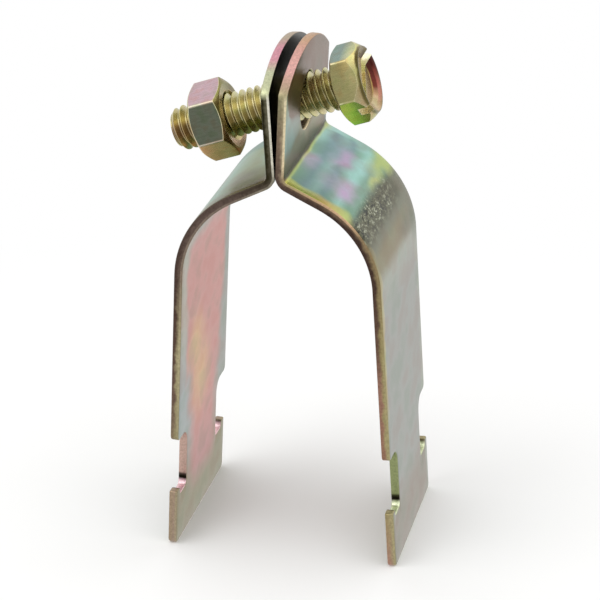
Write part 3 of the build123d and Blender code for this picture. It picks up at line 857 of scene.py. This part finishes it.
def hardware_material(name, flats, zones, thread_end, slot_tones=None):
    """Chromated hardware: a tone for each flat, zones of the end faces from outside in, and the thread.

    Ramps run once round the axis: 0.5 is the front, 0.75 the top, 0 the back and 0.25 the underside.
    """
    material, tree = new_material(name)
    whole = add(tree, "TexCoord", {})
    spot = add(tree, "Mapping", {0: whole.outputs["Object"], 1: SCREW_CENTRE * MILLIMETRE,
                                 2: (0, -SCREW_TILT, 0), 3: (MILLIMETRE, MILLIMETRE, MILLIMETRE)},
               vector_type="TEXTURE")
    parts = add(tree, "SeparateXYZ", {0: spot})
    front = add(tree, "Math", {0: parts.outputs[1], 1: -1.0}, operation="MULTIPLY")
    across = add(tree, "CombineXYZ", {0: front, 1: parts.outputs[2]})
    reach = add(tree, "VectorMath", {0: across}, operation="LENGTH").outputs["Value"]
    patches = add(tree, "TexNoise", {0: spot, "Scale": 1 / HARDWARE_PATCH, "Detail": 4.0})
    reach_drifted = add(tree, "Math", {0: patches, 1: ZONE_SWAY, 2: reach}, operation="MULTIPLY_ADD")
    round_axis = add(tree, "TexGradient", {0: across}, gradient_type="RADIAL").outputs["Fac"]

    # Flats, shaded into the tone of the chamfer towards the end of the hexagon.
    rim_tone = add(tree, "ValToRGB", {0: round_axis}, stops=zones[0][1])
    near_rim = add(tree, "MapRange", {0: parts, 1: thread_end + CHAMFER_NEAR, 2: thread_end + CHAMFER_FULL,
                                      4: CHAMFER_SHARE})
    flat_tone = add(tree, "ValToRGB", {0: round_axis}, stops=flats)
    colour = add(tree, "Mix", {0: near_rim, 6: flat_tone, 7: rim_tone})

    # End faces and chamfers: what faces along the axis takes a tone by how far out it lies.
    facing = add(tree, "VectorMath", {0: whole.outputs["Normal"], 1: (cos(SCREW_TILT), 0, sin(SCREW_TILT))},
                 operation="DOT_PRODUCT").outputs["Value"]
    turned = add(tree, "Math", {0: facing}, operation="ABSOLUTE")
    on_end = add(tree, "MapRange", {0: turned, 1: END_FACE[0], 2: END_FACE[1]})
    for radius, tones in zones:
        tone = add(tree, "ValToRGB", {0: round_axis}, stops=tones)
        bound = radius + ZONE_SWAY / 2
        inside = add(tree, "MapRange", {0: reach_drifted, 1: bound + ZONE_BLUR, 2: bound - ZONE_BLUR})
        share = add(tree, "Math", {0: inside, 1: on_end}, operation="MULTIPLY")
        colour = add(tree, "Mix", {0: share, 6: colour, 7: tone})
    # A painted highlight on the rounded edges between the flats and the ends, out by the corners.
    corner_highlight = add(tree, "ValToRGB", {0: turned}, stops=[(0.06, 0.0), (0.14, 1.0), (0.4, 1.0), (0.52, 0.0)])
    outer = add(tree, "MapRange", {0: reach, 1: CORNER_HIGHLIGHT_REACH, 2: CORNER_HIGHLIGHT_REACH + 0.1})
    corner_highlight = add(tree, "Math", {0: corner_highlight, 1: outer}, operation="MULTIPLY")
    colour = add(tree, "Mix", {0: corner_highlight, 6: colour, 7: paint(CORNER_HIGHLIGHT_TONE)})
    if slot_tones:
        slot_side = (cos(HEAD_CORNER), sin(HEAD_CORNER), 0)
        off_slot = add(tree, "VectorMath", {0: across, 1: slot_side}, operation="DOT_PRODUCT")
        off_slot = add(tree, "Math", {0: off_slot.outputs["Value"]}, operation="ABSOLUTE")
        wall = SLOT_WIDTH / 2
        in_slot = add(tree, "MapRange", {0: off_slot, 1: wall + SLOT_FRINGE, 2: wall - SLOT_FRINGE / 4})
        in_head = add(tree, "Math", {0: parts, 1: head_end - SLOT_DEPTH - 0.1}, operation="GREATER_THAN")
        in_slot = add(tree, "Math", {0: in_slot, 1: in_head}, operation="MULTIPLY")
        tone = add(tree, "ValToRGB", {0: round_axis}, stops=slot_tones)
        colour = add(tree, "Mix", {0: in_slot, 6: colour, 7: tone})
    tints = add(tree, "ValToRGB", {0: patches},
                stops=[(0.36, "#fcf0e8"), (0.5, "#ffffff"), (0.64, "#eef5e8")])
    colour = add(tree, "Mix", {0: 1.0, 6: colour, 7: tints}, blend_type="MULTIPLY")

    # Thread: straw, written pale, as its flanks reflect each other and deepen the tone. Its roots are
    # painted a little darker as shade, it has painted grey shade just below the front, and a mauve band
    # near the tip.
    depth = add(tree, "MapRange", {0: reach, 1: THREAD_RADIUS - THREAD_DEPTH, 2: THREAD_RADIUS})
    thread_shaded = add(tree, "ValToRGB", {0: depth},
                 stops=[(0.0, "#cfccb2"), (0.4, "#d8d5ba"), (0.8, "#e4e1c4"), (0.95, "#e4e0b6")])
    film = add(tree, "ValToRGB", {0: patches},
               stops=[(0.36, "#f2eadb"), (0.5, "#f7f3e2"), (0.64, "#f1f3df")])
    # Painted shade round the axis: greyer just below the front.
    underside = add(tree, "ValToRGB", {0: round_axis},
                    stops=[(0.1, "#e6e1d2"), (0.34, "#f6f2e2"), (0.4, "#ece7d8"), (0.44, "#d3cdc0"),
                           (0.52, "#d6d0c3"), (0.58, "#f0ede0"), (0.8, "#f2f0dc")])
    near_tip = add(tree, "MapRange", {0: parts, 1: tip + TIP_BAND[0], 2: tip + TIP_BAND[1]})
    tip_tone = add(tree, "ValToRGB", {0: round_axis},
                   stops=[(0.38, "#fffaf4"), (0.44, "#fbf0ec"), (0.48, "#e2d0d2"), (0.55, "#e2d0d2"),
                          (0.62, "#f4f0e4")])
    for share, tone in ((1.0, film), (1.0, underside), (near_tip, tip_tone)):
        thread_shaded = add(tree, "Mix", {0: share, 6: thread_shaded, 7: tone}, blend_type="MULTIPLY")
    on_thread = add(tree, "MapRange", {0: reach, 1: THREAD_REACH + 0.2, 2: THREAD_REACH})
    before_end = add(tree, "Math", {0: parts, 1: thread_end}, operation="LESS_THAN")
    on_thread = add(tree, "Math", {0: on_thread, 1: before_end}, operation="MULTIPLY")
    colour = add(tree, "Mix", {0: on_thread, 6: colour, 7: thread_shaded})

    drawn = add(tree, "Mapping", {0: spot, 3: [1 / size for size in HARDWARE_GRAIN]})
    grain = add(tree, "TexNoise", {0: drawn, "Scale": 1.0, "Detail": 4.0, "Roughness": 0.65})
    colour = grained(tree, colour, grain, HARDWARE_SHADES)
    rough = add(tree, "MapRange", {0: grain, 1: NOISE_LEAST, 2: NOISE_MOST, 3: HARDWARE_ROUGHNESS[0],
                                   4: HARDWARE_ROUGHNESS[1]})
    plated(tree, colour, rough, grain, HARDWARE_BUMP)
    return material


def flat_stops(corner, tones, edge):
    """Colour stops for six flats, from the corner angle measured up from the front, with a painted
    highlight on the edges between them.
    """
    soft = 0.003
    starts = [(corner / (2 * pi) + 0.5 + count / 6) % 1.0 for count in range(len(tones))]
    stops = sorted(zip(starts, tones))
    before = stops[-1][1]
    ramp = [(0.0, before)]
    for start, tone in stops:
        ramp += [(start - 2 * soft, before), (start - soft, edge), (start + soft, edge),
                 (start + 2 * soft, tone)]
        before = tone
    return ramp + [(1.0, before)]


# The screw's film: teal grey on top, khaki in front and lime below, with a maroon far wall in the dish and
# a slot sawn through to a paler tone. The lime flat below the front is written brighter as a painted
# reflection of the floor, and the end zones hold painted highlights and a painted dark reflection.
screw_material = hardware_material(
    "yellow_zinc_screw",
    # The lime flat below the front is written brighter as a painted reflection of the floor.
    flats=flat_stops(HEAD_CORNER, ["#7f958c", "#8f8f86", "#9a7a70", "#8d6d62", "#d9f562", "#938d61"],
                     edge="#b3ac7e"),
    # Besides the film, the zones hold painted light: a painted highlight on the outer chamfer towards the
    # top, a painted dark reflection in the ring just inside it, and painted highlights on the dish's rim.
    zones=[
        (9.0, [(0.0, "#8a5a52"), (0.12, "#b08a6a"), (0.28, "#b3b45a"), (0.35, "#c4ac80"), (0.42, "#b3a482"),
               (0.5, "#a1966e"), (0.6, "#bdb27c"), (0.66, "#fbf0a4"), (0.74, "#e6de92"), (0.86, "#7a6a45"),
               (1.0, "#8a5a52")]),
        (6.05, [(0.0, "#5a3a34"), (0.2, "#8a7f55"), (0.35, "#777044"), (0.5, "#5a5230"), (0.66, "#5f5734"),
                (0.76, "#8a7a52"), (0.86, "#5a4a34"), (1.0, "#5a3a34")]),
        (5.55, [(0.0, "#6b3c38"), (0.12, "#ab7a68"), (0.25, "#c9ab80"), (0.6, "#8a7a4c"), (0.89, "#75663f"),
                (0.9, "#4a2a26"), (1.0, "#6b3c38")]),
        (5.25, [(0.0, "#7a3a35"), (0.07, "#9c5a50"), (0.15, "#c58c7a"), (0.25, "#d3b88c"), (0.6, "#8a7a4c"),
                (0.89, "#5a4a2c"), (0.9, "#3f1a18"), (0.96, "#4a1d1a"), (1.0, "#84403a")]),
        (4.85, [(0.0, "#5a2a26"), (0.09, "#6a362e"), (0.16, "#d3b48e"), (0.25, "#d3c094"), (0.6, "#a08c58"),
                (0.9, "#4a2a22"), (1.0, "#5a2a26")]),
        (4.0, [(0.0, "#a8925c"), (1.0, "#a8925c")]),
    ],
    thread_end=HEAD_SEAT + 0.1,
    slot_tones=[(0.0, "#f8f3d4"), (0.15, "#f8f3d4"), (0.3, "#f6efdc"), (0.5, "#efe6d0"), (0.75, "#fffbd0"),
                (1.0, "#f8f3d4")],
)
screw.data.materials.clear()
screw.data.materials.append(screw_material)

# Nut: plain hexagon nut of carbon steel, cold formed, tapped, and chamfered on both faces. It stands some
# way off the left ear, as the screw hasn't been drawn up.
NUT_NEAR = -11.9
NUT_THICKNESS = 6.1
NUT_CORNER = radians(40.9)
NUT_FACE_RADIUS = 5.8
NUT_COUNTERSINK = 0.6
NUT_ROUNDING = 0.14
THREAD_PLAY = 0.05
TAP_OVERRUN = 1.0

nut_far = NUT_NEAR - NUT_THICKNESS
block = hex_block(nut_far, NUT_NEAR, NUT_CORNER, NUT_FACE_RADIUS, NUT_FACE_RADIUS, FACE_CHAMFER)
nut = piece_from(block, "nut")
round_edges(nut, NUT_ROUNDING)
tap = thread_rod(nut_far - TAP_OVERRUN, NUT_NEAR + TAP_OVERRUN, THREAD_PLAY)
for vert in tap.verts:
    inside = min(vert.co.x - nut_far, NUT_NEAR - vert.co.x)
    least = THREAD_RADIUS + NUT_COUNTERSINK - inside
    if 0 < hypot(vert.co.y, vert.co.z) < least:
        set_reach(vert, least)
combine(nut, piece_from(tap, "tap"), "DIFFERENCE")
set_on_axis(nut)
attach(nut, "hex_nut")
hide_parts("hex_nut")

# The nut's film: rose on top, slate in front and orange brown below, with tan chamfers and edges. The
# orange flat below the front is written brighter as a painted reflection of the floor, and the near face
# has painted highlights in cream and pink low down in front.
nut_material = hardware_material(
    "yellow_zinc_nut",
    # The orange flat below the front is written brighter as a painted reflection of the floor.
    flats=flat_stops(NUT_CORNER, ["#c7aab2", "#9a958a", "#8f9a86", "#a58d62", "#ffc68c", "#5f6456"],
                     edge="#cbc1b0"),
    zones=[
        (9.0, [(0.0, "#8f7a4a"), (0.2, "#a98a5a"), (0.32, "#e08a64"), (0.42, "#d9b498"), (0.55, "#a39c72"),
               (0.66, "#a8a05e"), (0.74, "#8a8450"), (1.0, "#8f7a4a")]),
        # On the near face, the cream tones low down in front are painted highlights.
        (5.8, [(0.0, "#8f7f50"), (0.25, "#b08a62"), (0.36, "#f5d5b4"), (0.48, "#e8d4b8"), (0.6, "#dccdaa"),
               (0.72, "#b0a87e"), (0.85, "#77714a"), (1.0, "#8f7f50")]),
        (4.5, [(0.0, "#d6c290"), (1.0, "#d6c290")]),
    ],
    thread_end=NUT_NEAR + TAP_OVERRUN,
)
nut.data.materials.clear()
nut.data.materials.append(nut_material)

# Stage: a matt off-white floor under the feet, a white background and two soft lamps. The floor keeps the
# strap's shadow and runs out to plain white, for the eye and in the metal's reflections alike.
FLOOR_SIZE = 3.0
FADE_START = 0.05
FADE_END = 0.16
BACKGROUND = 1.0
WORLD_LIGHT = 1.0

bm = bmesh.new()
bmesh.ops.create_grid(bm, x_segments=1, y_segments=1, size=FLOOR_SIZE / 2)
bmesh.ops.translate(bm, verts=bm.verts, vec=(0, 0, cad_low[2]))
floor = piece_from(bm, "floor")
material, tree = new_material("pale_floor")
path = add(tree, "LightPath", {})
spot = add(tree, "TexCoord", {})
distance = add(tree, "VectorMath", {0: spot.outputs["Object"]}, operation="LENGTH").outputs["Value"]
away = add(tree, "MapRange", {0: distance, 1: FADE_START, 2: FADE_END}, interpolation_type="SMOOTHSTEP")
away = add(tree, "Math", {0: away, 1: path.outputs["Is Camera Ray"]}, operation="MULTIPLY")
mirrored = add(tree, "Math", {0: path.outputs["Is Glossy Ray"], 1: path.outputs["Is Transmission Ray"]},
               operation="MAXIMUM")
away = add(tree, "Math", {0: away, 1: mirrored}, operation="MAXIMUM")
matt = add(tree, "BsdfDiffuse", {"Color": paint("#f8f8f7")})
white = add(tree, "Emission", {"Strength": BACKGROUND})
add(tree, "OutputMaterial", {0: add(tree, "MixShader", {0: away, 1: matt, 2: white})})
floor.data.materials.append(material)

world = bpy.data.worlds.new("studio")
bpy.context.scene.world = world
world.use_nodes = True
tree = world.node_tree
tree.nodes.clear()
path = add(tree, "LightPath", {})
seen = path.outputs["Is Camera Ray"]
for ray in ("Is Glossy Ray", "Is Transmission Ray"):
    seen = add(tree, "Math", {0: seen, 1: path.outputs[ray]}, operation="MAXIMUM")
light = add(tree, "Background", {"Color": (1, 1, 1, 1), "Strength": WORLD_LIGHT})
white = add(tree, "Background", {"Color": (1, 1, 1, 1), "Strength": BACKGROUND})
add(tree, "OutputWorld", {0: add(tree, "MixShader", {0: seen, 1: light, 2: white})})


def softbox(name, place, size, power):
    """A square soft lamp that points at the middle of the strap."""
    lamp = bpy.data.lights.new(name, "AREA")
    lamp.energy = power
    lamp.size = size
    box = bpy.data.objects.new(name, lamp)
    bpy.context.scene.collection.objects.link(box)
    box.location = place
    box.rotation_euler = (-Vector(place)).to_track_quat("-Z", "Y").to_euler()


softbox("key", place=(-0.35, -0.30, 0.55), size=0.50, power=0.9)
softbox("fill", place=(0.55, -0.10, 0.35), size=0.60, power=0.4)
